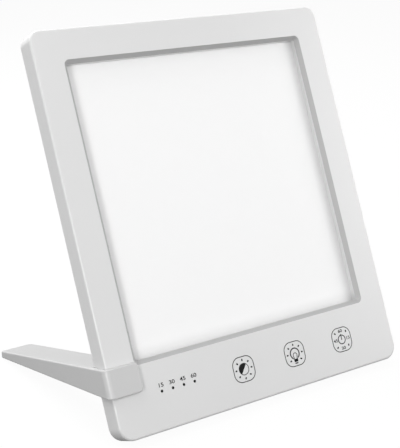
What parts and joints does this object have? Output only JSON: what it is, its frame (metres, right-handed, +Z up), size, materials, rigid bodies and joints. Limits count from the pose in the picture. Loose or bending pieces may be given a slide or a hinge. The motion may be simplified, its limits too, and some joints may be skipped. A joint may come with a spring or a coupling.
{
  "type": "light therapy lamp",
  "caption": "Slim tablet-shaped light therapy lamp: recessed white diffuser in a pale housing, touch keys and timer lights below it, leaning back on a clip-on wedge foot.",
  "frame": {"origin": "on the table, below the middle of the whole lamp's bounding box", "axes": "+X to the lamp's right as a user facing it sees it, +Y away from the user, +Z up; the panel leans back from +Z towards +Y by 24 degrees"},
  "size_m": [0.2036, 0.148, 0.2139],
  "materials": {
    "bar_board": "white solder mask on aluminium",
    "black_plastic": "black moulded plastic",
    "capacitor_can": "drawn can on a dark base",
    "circuit_board": "green solder mask",
    "clear_acrylic": "polished clear acrylic",
    "contact_metal": "plated contact pin",
    "foam": "closed-cell foam",
    "foot": "satin moulded ABS, a shade darker than the housing",
    "housing": "fine satin moulded ABS, pale neutral grey",
    "lead_insulation": "white PVC",
    "led_chip": "yellow phosphor",
    "opal_diffuser": "matt opal acrylic",
    "rubber": "matt black rubber",
    "screw_steel": "zinc-plated steel",
    "smoked_lens": "smoked clear plastic",
    "socket_plastic": "natural nylon",
    "spring_steel": "tinned spring wire, as a plain sleeve",
    "tray_metal": "bent sheet",
    "white_film": "white reflector film"
  },
  "bodies": {
    "panel": {"back_tray": "tray_metal", "board_screws": "screw_steel", "control_board": "circuit_board", "controller_chip": "black_plastic", "cover_screws": "screw_steel", "dc_jack_body": "black_plastic", "dc_jack_pin": "contact_metal", "diffuser_plate": "opal_diffuser", "driver_coil": "black_plastic", "driver_transistor": "black_plastic", "foam_strips": "foam", "front_bezel": "housing", "lead_socket_left": "socket_plastic", "lead_socket_right": "socket_plastic", "led_bar_left": "bar_board", "led_bar_right": "bar_board", "led_chips_left": "led_chip", "led_chips_right": "led_chip", "led_lead_left": "lead_insulation", "led_lead_right": "lead_insulation", "light_guide": "clear_acrylic", "rear_cover": "housing", "reflector_sheet": "white_film", "smoothing_capacitor": "capacitor_can", "timer_leds": "led_chip", "timer_lens_15": "smoked_lens", "timer_lens_30": "smoked_lens", "timer_lens_45": "smoked_lens", "timer_lens_60": "smoked_lens", "touch_spring_brightness": "spring_steel", "touch_spring_light": "spring_steel", "touch_spring_timer": "spring_steel"},
    "foot": {"foot_cover": "foot", "foot_screws": "screw_steel", "foot_shell": "foot", "foot_tip_pad": "rubber", "front_grip_pad": "rubber", "rear_grip_pad": "rubber"}
  },
  "joints": [
    {"name": "foot_slide", "type": "slide", "parent": "panel", "child": "foot", "axis": [-1, 0, 0], "range_m": [0, 0.04]}
  ]
}
